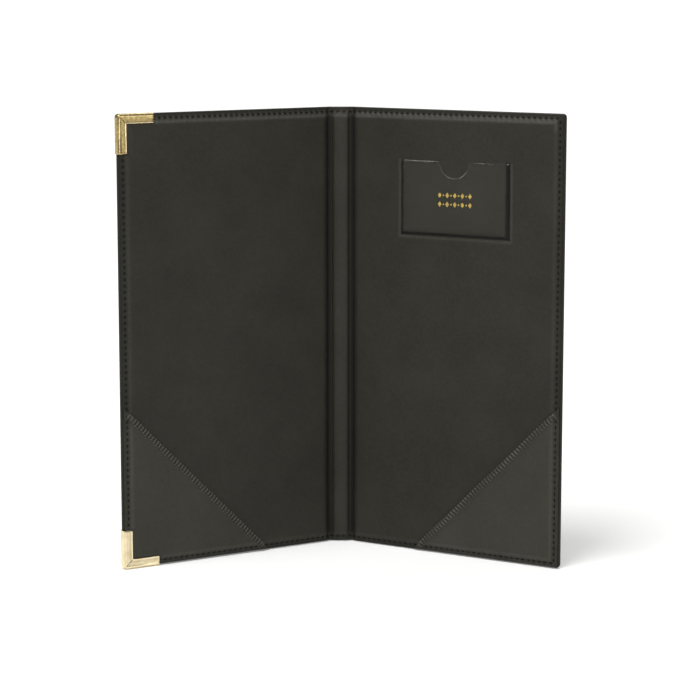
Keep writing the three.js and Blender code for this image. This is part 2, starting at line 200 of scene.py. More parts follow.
def stitchPhase(s, v):
    # 1 at the middle of each stitch, -1 at each needle hole.
    margin = sewing["margin"]
    onSide = (section["reach"] - s) < np.minimum(v, height - v)
    sideStitch = (v - margin) / (height - 2 * margin) * sewing["sideCount"]
    endStitch = s / (section["reach"] - margin) * sewing["endCount"]
    return -np.cos(2 * np.pi * np.where(onSide, sideStitch, endStitch))


def stitchPull(s, v):
    # The channel that the thread pulls into the sheet, deepest under each stitch.
    distance = edgeDistance(s, v)
    phase = stitchPhase(s, v)
    channel = hump(distance - sewing["margin"], sewing["channelHalf"])
    beside = hump(distance - sewing["margin"] - 1.6, 1.5)
    depth = sewing["channelDepth"] * (0.66 + 0.34 * phase)
    return -depth * channel - sewing["pucker"] * (0.5 + 0.5 * phase) * beside


# Painted light and shade along the seams, for the "press" attribute: plus is painted shade, minus is a
# painted highlight.
seamShading = {
    "crease": 0.9,
    "stitch": 0.75,
    "between": (0.25, -0.7),     # each pair: elsewhere, and along the top, where the painted highlights between the stitches and on the shoulder are strongest
    "ridge": (-0.35, -1.5),
    "hem": 0.25,
    "rib": -0.2,
}


def paintedSeamShading(s, v):
    # Painted light and shade that go with the relief: painted shade in the grooves, on the stitch line
    # and on the hem, and painted highlights between the stitches along the top, on the ridge inside
    # the stitches and on the rib.
    distance = edgeDistance(s, v)
    fromStitch = distance - sewing["margin"]
    along = 0.5 + 0.5 * stitchPhase(s, v)
    atTop = smooth(ramp(v, height - 12, height - 8)) * smooth(ramp(section["reach"] - s, 3, 6))
    between, ridge = (
        seamShading[part][0] + (seamShading[part][1] - seamShading[part][0]) * atTop
        for part in ("between", "ridge")
    )
    line = between + (seamShading["stitch"] - between) * smooth(along)
    press = line * hump(fromStitch, 0.8)
    press = press + ridge * hump(fromStitch - 2.0, 0.95)
    press = press + seamShading["rib"] * hump(s, 2.6)
    press = press + seamShading["hem"] * smooth(ramp(distance, sewing["margin"] - 0.9, 1.6))
    crease = smooth(ramp(np.abs(np.abs(s) - hingeHalf), section["grooveHalf"] + 0.3, 0.5))
    return press + (seamShading["crease"] - press) * crease * smooth(ramp(distance, 3.0, 6.0))


def clearOfHinge(s):
    # 0 over a hinge line, and 1 well beside it.
    return smooth(ramp(np.abs(np.abs(s) - hingeHalf), 0.9, 2.7))


def sheetLevel(side, s, v, face):
    # How far one face of the cover stands from the middle of the board.
    names = [kind + face for kind in ("filled", "hem", "groove", "panel", "rib")]
    filled, hemFull, groove, panel, rib = (section[name] for name in names)
    hem = filled + (hemFull - filled) * clearOfHinge(s)
    rise = padRise(side, s, v)
    seed = 3.1 if face == "Inside" else 9.7
    level = hem + (acrossLevel(s, groove, panel, rib) - hem) * rise
    return level + stitchPull(s, v) + undulation(side, s, v, seed) * rise


# Mesh helpers, each a few of Blender's own operators

def deselect():
    if bpy.context.object and bpy.context.object.mode != "OBJECT":
        bpy.ops.object.mode_set(mode="OBJECT")
    bpy.ops.object.select_all(action="DESELECT")


def makeActive(piece):
    deselect()
    piece.select_set(True)
    bpy.context.view_layer.objects.active = piece


def editAll(piece):
    makeActive(piece)
    bpy.ops.object.mode_set(mode="EDIT")
    bpy.ops.mesh.select_all(action="SELECT")


def newGrid(name, across, up, cell):
    # A flat grid in s and v, one unit to the millimetre, left in edit mode.
    deselect()
    wide, tall = across[1] - across[0], up[1] - up[0]
    columns, rows = max(1, round(wide / cell)), max(1, round(tall / cell))
    bpy.ops.mesh.primitive_grid_add(x_subdivisions=columns, y_subdivisions=rows, size=1)
    piece = bpy.context.object
    piece.name = name
    editAll(piece)
    bpy.ops.transform.resize(value=(wide, tall, 1))
    bpy.ops.transform.translate(value=((across[0] + across[1]) / 2, (up[0] + up[1]) / 2, 0))
    return piece


def refine(piece, wanted, cuts):
    # Subdivides the faces whose middles pass the test.
    bpy.ops.mesh.select_all(action="DESELECT")
    mesh = bmesh.from_edit_mesh(piece.data)
    for face in mesh.faces:
        middle = face.calc_center_median()
        face.select_set(bool(wanted(middle.x, middle.y)))
    bmesh.update_edit_mesh(piece.data)
    bpy.ops.mesh.subdivide(number_cuts=cuts)


def coordinates(piece):
    values = np.empty(len(piece.data.vertices) * 3)
    piece.data.vertices.foreach_get("co", values)
    return values.reshape(-1, 3)


def setCoordinates(piece, values):
    piece.data.vertices.foreach_set("co", np.asarray(values, float).ravel())
    piece.data.update()


def markPoints(piece, name, values):
    # A mesh attribute with one value to a point, for the piece's material to read.
    attribute = piece.data.attributes.new(name, "FLOAT", "POINT")
    attribute.data.foreach_set("value", np.asarray(values, np.float32))


def standUp(piece, side, flip=False):
    # From the bench, where x is s, y is v and z is w, to its place in the standing folder.
    deselect()
    flat = coordinates(piece)
    setCoordinates(piece, place(side, flat[:, 0], flat[:, 2], flat[:, 1]))
    if (side < 0) != flip:
        editAll(piece)
        bpy.ops.mesh.flip_normals()
        deselect()


def applyModifier(piece, kind, **settings):
    makeActive(piece)
    modifier = piece.modifiers.new(kind.title(), kind)
    for key, value in settings.items():
        setattr(modifier, key, value)
    bpy.ops.object.modifier_apply(modifier=modifier.name)


def roundShading(piece, degrees=50):
    makeActive(piece)
    bpy.ops.object.shade_smooth_by_angle(angle=math.radians(degrees))


def sweepRings(name, rings):
    # A closed body through rings of points: one end face, extruded from ring to ring.
    deselect()
    bpy.ops.mesh.primitive_circle_add(vertices=len(rings[0]), radius=1, fill_type="NGON")
    piece = bpy.context.object
    piece.name = name
    setCoordinates(piece, rings[0])
    editAll(piece)
    for before, after in zip(rings, rings[1:]):
        bpy.ops.mesh.extrude_region()
        mesh = bmesh.from_edit_mesh(piece.data)
        for vertex in mesh.verts:
            if vertex.select:
                nearest = np.linalg.norm(np.array(before) - np.array(vertex.co), axis=1).argmin()
                vertex.co = after[nearest]
        bmesh.update_edit_mesh(piece.data)
    bpy.ops.mesh.select_all(action="SELECT")
    bpy.ops.mesh.remove_doubles(threshold=0.004)
    bpy.ops.mesh.normals_make_consistent(inside=False)
    deselect()
    return piece


def joinPieces(name, pieces):
    deselect()
    for piece in pieces:
        piece.select_set(True)
    bpy.context.view_layer.objects.active = pieces[0]
    if len(pieces) > 1:
        bpy.ops.object.join()
    joined = bpy.context.object
    joined.name = name
    bpy.ops.object.transform_apply(location=True, rotation=True, scale=True)
    return joined


def copyTo(master, spots):
    # Copies of one small piece, each with its own mesh, set down at (s, v, w, turn).
    copies = []
    for s, v, w, turn in spots:
        copy = master.copy()
        copy.data = master.data.copy()
        copy.location = (s, v, w)
        copy.rotation_euler = (0, 0, turn)
        bpy.context.collection.objects.link(copy)
        copies.append(copy)
    return copies


def removePiece(piece):
    bpy.data.objects.remove(piece, do_unlink=True)


def blendAcrossHinge(piece):
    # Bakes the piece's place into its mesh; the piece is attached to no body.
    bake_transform(piece)


# Materials

def linear(colour):
    # A colour written as sRGB hex, turned to the linear values that Blender works in.
    parts = [int(colour[i:i + 2], 16) / 255 for i in (1, 3, 5)]
    return [c / 12.92 if c <= 0.04045 else ((c + 0.055) / 1.055) ** 2.4 for c in parts] + [1.0]


def addNode(owner, kind, inputs=None, **settings):
    # Adds one node to a material or to the world. Inputs are values, or (node, output name)
    # pairs to link from.
    tree = owner.node_tree
    node = tree.nodes.new(kind)
    for key, value in settings.items():
        setattr(node, key, value)
    for key, value in (inputs or {}).items():
        if isinstance(value, tuple) and isinstance(value[0], bpy.types.Node):
            tree.links.new(value[0].outputs[value[1]], node.inputs[key])
        else:
            node.inputs[key].default_value = value
    return node


def newMaterial(name):
    material = bpy.data.materials.new(name)
    material.use_nodes = True
    material.node_tree.nodes.clear()
    return material


def setRamp(node, *stops):
    for element, (position, colour) in zip(node.color_ramp.elements, stops):
        element.position = position
        element.color = linear(colour)
    return node


def finishMaterial(material, surface):
    addNode(material, "ShaderNodeOutputMaterial", {"Surface": surface})
    return material


def paintedShadeColour(material, colour):
    # The mesh attribute "press" paints shade where it is plus, in grooves, stitch lines, welds and
    # hollows, and paints highlights where it is minus, on padded shoulders, ridges and rims.
    pressed = addNode(material, "ShaderNodeAttribute", attribute_name="press")
    keptTone = addNode(material, "ShaderNodeMath", {0: 1.0, 1: (pressed, "Fac")},
                       operation="SUBTRACT")
    greyed = addNode(material, "ShaderNodeMapRange",
                     {"Value": (keptTone, "Value"), "From Min": 1.0, "From Max": 2.5,
                      "To Min": 1.0, "To Max": 0.4})
    return addNode(material, "ShaderNodeHueSaturation",
                   {"Color": (colour, "Color"), "Saturation": (greyed, "Result"),
                    "Value": (keptTone, "Value")})


# Embossed PU leatherette: a fine pebble grain rolled into a soft coat over knitted cloth.
# It gives a dark matt face with broad dull highlights and a tone that drifts slowly. The mesh
# attribute "covered" is 1 beneath the card pocket's film, where the grain is left out.
leatherette = {
    "pebble": 1.25,          # one grain of the emboss, drawn a little coarse so that it shows
    "pore": 0.4,
    "drift": 38.0,           # slow changes of tone
    "speckle": 1.6,          # fine changes of tone
    "speckleShare": 0.4,
    "grainDepth": 0.08,
    "grainStrength": 0.35,
}


def makeLeatherette(name, dark, light, roughness):
    material = newMaterial(name)
    places = addNode(material, "ShaderNodeTexCoord")
    grain = addNode(material, "ShaderNodeTexVoronoi",
                    {"Vector": (places, "Object"), "Scale": 1 / (leatherette["pebble"] * metre),
                     "Randomness": 0.9}, feature="SMOOTH_F1")
    pores = addNode(material, "ShaderNodeTexNoise",
                    {"Vector": (places, "Object"), "Scale": 1 / (leatherette["pore"] * metre),
                     "Detail": 3.0})
    tone = addNode(material, "ShaderNodeTexNoise",
                   {"Vector": (places, "Object"), "Scale": 1 / (leatherette["drift"] * metre),
                    "Detail": 4.0, "Roughness": 0.6})
    speckle = addNode(material, "ShaderNodeTexNoise",
                      {"Vector": (places, "Object"), "Scale": 1 / (leatherette["speckle"] * metre),
                       "Detail": 3.0})
    share = leatherette["speckleShare"]
    slowTone = addNode(material, "ShaderNodeMath", {0: (tone, "Fac"), 1: 1 - share},
                       operation="MULTIPLY")
    mixedTone = addNode(material, "ShaderNodeMath",
                        {0: (speckle, "Fac"), 1: share, 2: (slowTone, "Value")},
                        operation="MULTIPLY_ADD")
    colour = setRamp(addNode(material, "ShaderNodeValToRGB", {"Fac": (mixedTone, "Value")}),
                     (0.36, dark), (0.64, light))
    shaded = paintedShadeColour(material, colour)
    rough = addNode(material, "ShaderNodeMapRange",
                    {"Value": (pores, "Fac"), "From Min": 0.3, "From Max": 0.7,
                     "To Min": roughness - 0.06, "To Max": roughness + 0.07})
    relief = addNode(material, "ShaderNodeMath",
                     {0: (pores, "Fac"), 1: 0.3, 2: (grain, "Distance")},
                     operation="MULTIPLY_ADD")
    covered = addNode(material, "ShaderNodeAttribute", attribute_name="covered")
    full = leatherette["grainStrength"]
    strength = addNode(material, "ShaderNodeMath", {0: (covered, "Fac"), 1: -full, 2: full},
                       operation="MULTIPLY_ADD")
    bump = addNode(material, "ShaderNodeBump",
                   {"Height": (relief, "Value"), "Strength": (strength, "Value"),
                    "Distance": leatherette["grainDepth"] * metre})
    shader = addNode(material, "ShaderNodeBsdfPrincipled",
                     {"Base Color": (shaded, "Color"), "Roughness": (rough, "Result"),
                      "IOR": 1.46, "Specular IOR Level": 0.22, "Normal": (bump, "Normal")})
    return finishMaterial(material, (shader, "BSDF"))


# Bonded polyester sewing thread: a tight twist of plies, each with a thin dull sheen.
def makeThread(name, dark, light, roughness, ply=0.55):
    material = newMaterial(name)
    places = addNode(material, "ShaderNodeTexCoord")
    plies = addNode(material, "ShaderNodeTexWave",
                    {"Vector": (places, "Object"), "Scale": 1 / (ply * metre * 2 * math.pi),
                     "Distortion": 1.5}, bands_direction="DIAGONAL")
    # The ramp paints each ply lighter along its crest and darker in the twist between plies: painted
    # highlight and painted shade.
    colour = setRamp(addNode(material, "ShaderNodeValToRGB", {"Fac": (plies, "Fac")}),
                     (0.0, dark), (1.0, light))
    bump = addNode(material, "ShaderNodeBump",
                   {"Height": (plies, "Fac"), "Strength": 0.5, "Distance": 0.06 * metre})
    shader = addNode(material, "ShaderNodeBsdfPrincipled",
                     {"Base Color": (colour, "Color"), "Roughness": roughness,
                      "Specular IOR Level": 0.12, "Normal": (bump, "Normal")})
    return finishMaterial(material, (shader, "BSDF"))


# Pressed steel with a pale gold plating under lacquer, with cloudy flats. The mesh attribute "press"
# paints highlights on its rims and shade at their foot, and darkens its mitre.
def makePlatedSteel(name, bright, dull, cloud=3.5, dent=1.4):
    material = newMaterial(name)
    places = addNode(material, "ShaderNodeTexCoord")
    clouds = addNode(material, "ShaderNodeTexNoise",
                     {"Vector": (places, "Object"), "Scale": 1 / (cloud * metre), "Detail": 5.0})
    dents = addNode(material, "ShaderNodeTexNoise",
                    {"Vector": (places, "Object"), "Scale": 1 / (dent * metre), "Detail": 2.0})
    colour = setRamp(addNode(material, "ShaderNodeValToRGB", {"Fac": (clouds, "Fac")}),
                     (0.3, dull), (0.6, bright))
    rough = addNode(material, "ShaderNodeMapRange",
                    {"Value": (clouds, "Fac"), "From Min": 0.3, "From Max": 0.7,
                     "To Min": 0.36, "To Max": 0.24})
    bump = addNode(material, "ShaderNodeBump",
                   {"Height": (dents, "Fac"), "Strength": 0.3, "Distance": 0.06 * metre})
    shader = addNode(material, "ShaderNodeBsdfPrincipled",
                     {"Base Color": (paintedShadeColour(material, colour), "Color"),
                      "Roughness": (rough, "Result"), "Metallic": 1.0,
                      "Normal": (bump, "Normal")})
    return finishMaterial(material, (shader, "BSDF"))


# Calendered clear soft PVC, all but clear: at this opacity its gloss and ripples hardly show. The mesh
# attribute "press" is plus along the open cut edge and at the top of the right-hand weld, where it
# paints a glint, paler and more opaque, that stands for the light the film carries out of its edge,
# and -1 where the film is fused into a weld and can't be seen. The light of the film's pale haze is
# painted into the lining's tone instead, because a haze in the film itself renders with a coarse
# grain.
def makeClearFilm(name, tint, edge, ripple=18.0, streak=16.0):
    material = newMaterial(name)
    places = addNode(material, "ShaderNodeTexCoord")
    ripples = addNode(material, "ShaderNodeTexNoise",
                      {"Vector": (places, "Object"), "Scale": 1 / (ripple * metre), "Detail": 0.0})
    streaks = addNode(material, "ShaderNodeTexNoise",
                      {"Vector": (places, "Object"), "Scale": 1 / (streak * metre), "Detail": 1.0})
    # Painted glint: where "press" is plus, the film is paler and more opaque.
    cutEdge = addNode(material, "ShaderNodeAttribute", attribute_name="press")
    cloudy = addNode(material, "ShaderNodeMapRange",
                     {"Value": (streaks, "Fac"), "From Min": 0.4, "From Max": 0.7,
                      "To Min": 0.003, "To Max": 0.012})
    covering = addNode(material, "ShaderNodeMath",
                       {0: (cutEdge, "Fac"), 1: 0.75, 2: (cloudy, "Result")},
                       operation="MULTIPLY_ADD", use_clamp=True)
    colour = setRamp(addNode(material, "ShaderNodeValToRGB", {"Fac": (cutEdge, "Fac")}),
                     (0.1, tint), (1.0, edge))
    bump = addNode(material, "ShaderNodeBump",
                   {"Height": (ripples, "Fac"), "Strength": 0.4, "Distance": 1.0 * metre})
    shader = addNode(material, "ShaderNodeBsdfPrincipled",
                     {"Base Color": (colour, "Color"), "Roughness": 0.12,
                      "Alpha": (covering, "Value"), "Specular IOR Level": 0.8,
                      "Normal": (bump, "Normal")})
    return finishMaterial(material, (shader, "BSDF"))


# Hot-stamped gold foil: thin and bright, broken a little where the grain shows through.
def makeFoil(name, bright, dull, breaks=0.7):
    material = newMaterial(name)
    places = addNode(material, "ShaderNodeTexCoord")
    worn = addNode(material, "ShaderNodeTexNoise",
                   {"Vector": (places, "Object"), "Scale": 1 / (breaks * metre), "Detail": 2.0})
    colour = setRamp(addNode(material, "ShaderNodeValToRGB", {"Fac": (worn, "Fac")}),
                     (0.35, dull), (0.6, bright))
    shader = addNode(material, "ShaderNodeBsdfPrincipled",
                     {"Base Color": (colour, "Color"), "Roughness": 0.4, "Metallic": 0.35})
    return finishMaterial(material, (shader, "BSDF"))


# Pulp board and cut foam: open fibres and cells, seen only where a cover is taken apart.
def makeFiller(name, dark, light, grain):
    material = newMaterial(name)
    places = addNode(material, "ShaderNodeTexCoord")
    fibres = addNode(material, "ShaderNodeTexNoise",
                     {"Vector": (places, "Object"), "Scale": 1 / (grain * metre), "Detail": 6.0})
    colour = setRamp(addNode(material, "ShaderNodeValToRGB", {"Fac": (fibres, "Fac")}),
                     (0.3, dark), (0.7, light))
    bump = addNode(material, "ShaderNodeBump",
                   {"Height": (fibres, "Fac"), "Strength": 0.4, "Distance": 0.1 * metre})
    shader = addNode(material, "ShaderNodeBsdfPrincipled",
                     {"Base Color": (colour, "Color"), "Roughness": 0.95,
                      "Normal": (bump, "Normal")})
    return finishMaterial(material, (shader, "BSDF"))


finishes = {
    "outer_leatherette": makeLeatherette("embossed leatherette, outer", "#242319", "#2C2B24", 0.5),
    "inner_leatherette": makeLeatherette("embossed leatherette, lining", "#25241D", "#2E2D26", 0.5),
    "pocket_leatherette": makeLeatherette("embossed leatherette, pockets", "#313029", "#3A3932", 0.48),
    "seam": makeThread("bonded polyester thread, black", "#0A0907", "#171613", 0.7),
    "overcast": makeThread("bonded polyester thread, grey", "#3A3932", "#625F56", 0.6),
    "corner_metal": makePlatedSteel("gold plated steel, lacquered", "#EBDCB8", "#DCCBA2"),
    # The top corner gets a darker, more mottled copy of the same plating: painted shade.
    "shaded_top_metal": makePlatedSteel("gold plated steel, painted darker", "#C9B27C", "#A08B58", cloud=1.6),
    "clear_film": makeClearFilm("clear PVC film", "#6E6D66", "#A9A8A0"),
    "foil": makeFoil("hot-stamped gold foil", "#D8B95C", "#9C8238"),
    "board": makeFiller("pulp greyboard", "#6F6858", "#8F8775", 0.8),
    "foam": makeFiller("cut polyurethane foam", "#C9C5B8", "#E2DFD4", 0.6),
}


def giveFinish(piece, finish):
    piece.data.materials.clear()
    piece.data.materials.append(finishes[finish])


fillerOf = {"board": "board", "strip": "board", "foam": "foam"}
for nodeName, cadNode in frame["nodes"].items():
    for word, finish in fillerOf.items():
        if nodeName.endswith(word):
            cadNode.material_slots[0].material = finishes[finish]
print("materials made")


# Linings: the inner sheet of each cover, from the foot of the spine's rib to its cut edge

lining = {
    "cell": 3.43,
    "inset": 0.8,            # from the cover's edge to the lining's
    "thickness": 0.55,
    "band": 9.5,             # finely divided along the edge
    "cuts": 5,
    "cutEdge": 0.16,         # the lining's cut edge is pressed down by this
}
spineSheet = {"cell": 0.84, "overlap": 0.1, "tuck": 0.03}
bendBand = 8.0               # a cover's sheets are finely divided this far out from the hinge line
cardPocket = {
    "left": 39.8,            # from the spine's middle
    "width": 68.0,
    "top": 225.3,
    "tall": 42.5,
    "notchRadius": 9.3,
    "film": 0.25,
    "filmCell": 0.0167,      # as a share of the film's height
    "rest": 0.08,            # between the film and the lining
    "slot": 0.55,            # room that the film keeps for a card
    "belly": 0.35,           # the film stands off this much more in the middle
    "lipUp": 0.12,           # and this much more along its open edge
    "weldWidth": 1.4,
    "weldDepth": 0.38,
    "beadHeight": 0.2,
    "leftLine": 1.25,        # widths of the welded lines, each painted with shade; the right one is drawn widest, for the shade along that side
    "bottomLine": 2.0,
    "rightLine": 2.7,
    # Painted shade along the weld lines, and a painted highlight on the bead outside them.
    "weldShade": 0.9,
    "beadHighlight": -0.75,
    "filmHazeLight": 0.22,           # painted lightening of the lining beneath the film, standing for the light that the film's haze scatters
}


def weldSides(s, v):
    # Inwards from each welded side of the card pocket, with the width of its line.
    left, width = cardPocket["left"], cardPocket["width"]
    bottom = cardPocket["top"] - cardPocket["tall"]
    return (
        (s - left, cardPocket["leftLine"]),
        (v - bottom, cardPocket["bottomLine"]),
        (left + width - s, cardPocket["rightLine"]),
    )


def weldDistance(s, v):
    # Inwards from the nearest welded side; minus outside the pocket.
    inwards = [inward for inward, line in weldSides(s, v)]
    return np.minimum(np.minimum(inwards[0], inwards[1]), inwards[2])


def weldMarks(s, v):
    # The line that the welding bar presses into the lining, and the soft bead outside it.
    outside = weldDistance(s, v)
    below = ramp(v, cardPocket["top"] + 1.2, cardPocket["top"] - 0.3)
    line = 0.0
    for inward, width in weldSides(s, v):
        across = smooth(ramp(np.abs(inward - width / 2), width / 2 + 0.3, width / 2 - 0.35))
        line = np.maximum(line, across * ramp(outside, -0.5, 0.1))
    bead = hump(outside + 1.0, 0.75)
    return line * below, bead * below * (1 - line)


def cutEdgeDrop(s, v):
    return lining["cutEdge"] * (1 - smooth(ramp(edgeDistance(s, v), 0.7, 1.7)))


def liningLevel(side, s, v):
    level = sheetLevel(side, s, v, "Inside") - cutEdgeDrop(s, v)
    if side > 0:
        line, bead = weldMarks(s, v)
        level = level + cardPocket["beadHeight"] * bead - cardPocket["weldDepth"] * line
    return level


def liningShading(side, s, v):
    # The seams' painted shading, and on the back cover painted shade along the weld lines and a
    # painted highlight on their beads.
    press = paintedSeamShading(s, v)
    if side > 0:
        line, bead = weldMarks(s, v)
        press = press + cardPocket["weldShade"] * line + cardPocket["beadHighlight"] * bead
    return press


def beneathFilm(s, v):
    # 1 beneath the film. The lining is drawn there without its grain, and painted a little paler,
    # which stands for the light that the film's haze scatters.
    top, radius = cardPocket["top"], cardPocket["notchRadius"]
    inside = ramp(weldDistance(s, v), 0.6, 2.6) * (v < top + 0.3)
    fromNotch = np.hypot(s - cardPocket["left"] - cardPocket["width"] / 2, v - top)
    return inside * ramp(fromNotch, radius - 0.2, radius + 0.5)


def buildLining(side):
    def nearSeam(s, v):
        nearWeld = side > 0 and abs(weldDistance(s, v)) < 3.2 and v < cardPocket["top"] + 3
        return s < hingeHalf + bendBand or edgeDistance(s, v) < lining["band"] or nearWeld

    def onWeld(s, v):
        return abs(weldDistance(s, v) - 0.5) < 2.3 and v < cardPocket["top"] + 2

    inset = lining["inset"]
    across = (section["ribFoot"], section["reach"] - inset)
    up = (inset, height - inset)
    piece = newGrid(f"{prefixOf[side]}_lining_sheet", across, up, lining["cell"])
    refine(piece, nearSeam, lining["cuts"])
    if side > 0:
        refine(piece, onWeld, 1)
    deselect()
    flat = coordinates(piece)
    s, v = flat[:, 0], flat[:, 1]
    setCoordinates(piece, np.stack([*roundCorner(s, v), liningLevel(side, s, v)], axis=-1))
    # The lining's painted light and shade, kept in the "press" attribute.
    press = liningShading(side, s, v)
    if side > 0:
        covered = beneathFilm(s, v)
        markPoints(piece, "covered", covered)
        # Painted light beneath the film, for its haze.
        press = press - cardPocket["filmHazeLight"] * covered
    markPoints(piece, "press", press)
    standUp(piece, side)
    applyModifier(piece, "SOLIDIFY", thickness=lining["thickness"] * metre, offset=-1)
    roundShading(piece)
    giveFinish(piece, "inner_leatherette")
    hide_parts(f"{prefixOf[side]}_lining")
    blendAcrossHinge(piece)


for side in (-1, 1):
    buildLining(side)


def buildSpineLining():
    half = section["ribFoot"] + spineSheet["overlap"]
    inset = lining["inset"]
    piece = newGrid("spine_lining_sheet", (-half, half), (inset, height - inset), spineSheet["cell"])
    deselect()
    flat = coordinates(piece)
    s, v = flat[:, 0], flat[:, 1]
    flat[:, 2] = sheetLevel(1, s, v, "Inside") - spineSheet["tuck"] - cutEdgeDrop(s, v)
    setCoordinates(piece, flat)
    # Painted seam shade and highlights.
    markPoints(piece, "press", paintedSeamShading(s, v))
    standUp(piece, 1)
    applyModifier(piece, "SOLIDIFY", thickness=lining["thickness"] * metre, offset=-1)
    roundShading(piece)
    giveFinish(piece, "inner_leatherette")
    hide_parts("spine_lining")
    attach(piece, "spine")


buildSpineLining()
print("linings built")


# Outer skins: one sheet on each outside, turned round the edges and in under the lining

skin = {
    "cell": 3.2,
    "cuts": 5,
    "band": 7.5,
    "thickness": 0.5,
    "edgeRound": 1.15,       # how far the rounded edge reaches past the flat hem
    "squareness": 2.5,       # 2 would be a plain half circle
    "arcLength": 4.4,
    "lip": 3.2,              # the part of the turned-in lip that is near the edge
    "lipInside": 1.45,
    "lipAtGroove": 0.95,
    "metalRelief": 0.45,     # the edge is pressed in where a metal corner clasps it
}


def turnEdge(e):
    # The rounded edge: how far out, and how far round from the outer (1) to the inner (-1) face.
    angle = np.pi * np.clip(e / skin["arcLength"], 0, 1)
    power = 2 / skin["squareness"]
    out = skin["edgeRound"] * np.abs(np.sin(angle)) ** power
    face = np.sign(np.cos(angle)) * np.abs(np.cos(angle)) ** power
    return out - np.maximum(e - skin["arcLength"], 0), face


def skinPlaces(side, flat, start):
    s, v = flat[:, 0], flat[:, 1]
    edge = skin["edgeRound"]
    sEdge = section["reach"] - edge if side else math.inf
    half = height / 2 - edge
    fromMiddle = v - height / 2
    e = np.maximum(np.maximum(s - sEdge, np.abs(fromMiddle) - half), 0)
    out, face = turnEdge(e)
    long = sEdge - start
    sTurned = start + (s - start) * (long + out) / (long + e) if side else s
    vTurned = height / 2 + fromMiddle * (half + out) / (half + e)
    outer = sheetLevel(side or 1, sTurned, vTurned, "Outside")
    inner = skin["lipAtGroove"] + (skin["lipInside"] - skin["lipAtGroove"]) * clearOfHinge(sTurned)
    w = np.where(face > 0, -outer * face, -inner * face)
    if side < 0:
        leg = metalSeat["leg"]
        underMetal = smooth(ramp(section["reach"] - sTurned, leg + 0.6, leg - 0.4))
        atEnd = smooth(ramp(np.abs(fromMiddle), half - 2.5, half))
        vTurned = vTurned - np.sign(fromMiddle) * skin["metalRelief"] * underMetal * atEnd
    return np.stack([*roundCorner(sTurned, vTurned), w], axis=-1)


def buildSkin(side):
    # side is 0 for the spine's strip, which has no outer edge.
    def nearSeam(s, v):
        return s < hingeHalf + bendBand or edgeDistance(s, v) < skin["band"]

    turn = skin["arcLength"] + skin["lip"]
    edge = skin["edgeRound"]
    half = section["ribFoot"] + spineSheet["overlap"]
    start = section["ribFoot"] if side else -half
    end = section["reach"] - edge + turn if side else half
    name = f"{prefixOf[side]}_skin_sheet" if side else "spine_skin_sheet"
    cell = skin["cell"] if side else spineSheet["cell"]
    piece = newGrid(name, (start, end), (edge - turn, height - edge + turn), cell)
    if side:
        refine(piece, nearSeam, skin["cuts"])
    deselect()
    places = skinPlaces(side, coordinates(piece), start)
    if not side:
        places[:, 2] += spineSheet["tuck"]
    setCoordinates(piece, places)
    # Painted seam shade and highlights.
    markPoints(piece, "press", paintedSeamShading(places[:, 0], places[:, 1]))
    standUp(piece, side or 1, flip=True)
    applyModifier(piece, "SOLIDIFY", thickness=skin["thickness"] * metre, offset=-1)
    roundShading(piece, 60)
    giveFinish(piece, "outer_leatherette")
    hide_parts(f"{prefixOf[side]}_skin" if side else "spine_skin")
    if side:
        blendAcrossHinge(piece)
    else:
        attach(piece, "spine")


for side in (-1, 0, 1):
    buildSkin(side)
print("skins built")


# Corner pockets: a triangle of leatherette, its diagonal edge turned in and overcast

cornerPocket = {
    "leg": 92.0,
    "thickness": 0.5,        # from the gap to the pocket's face
    "leather": 0.42,
    "gap": 0.1,              # over the lining
    "slack": 0.1,
    "hem": 3.4,              # width of the turned-in diagonal edge
    "hemThick": 1.05,
    "underside": 2.6,
    "cell": 3.2,
    "cuts": 4,
}
diagonal = cornerPocket["leg"] * math.sqrt(2)


def diagonalDistance(s, v):
    # Inwards from the pocket's diagonal edge, towards the corner of the cover.
    return (s - (section["reach"] - cornerPocket["leg"]) - v) / math.sqrt(2)


def pocketLevel(side, s, v):
    q = diagonalDistance(s, v)
    thin, hem = cornerPocket["thickness"], cornerPocket["hem"]
    onHem = 1 - smooth(ramp(q, hem - 0.5, hem + 0.7))
    thick = thin + (cornerPocket["hemThick"] - thin) * onHem
    onPad = padRise(side, s, v)
    under = sheetLevel(side, s, v, "Inside")
    slack = cornerPocket["slack"] * smooth(ramp(q, 4, 16)) * onPad * np.sin(q / 9 + 0.5)
    return under + cornerPocket["gap"] + thick + slack


def topLevel(side, s, v):
    # The face that a stitch lies on: the pocket where there is one, and the lining elsewhere.
    onPocket = (diagonalDistance(s, v) > 0) & (v < cornerPocket["leg"])
    return np.where(onPocket, pocketLevel(side, s, v), sheetLevel(side, s, v, "Inside"))


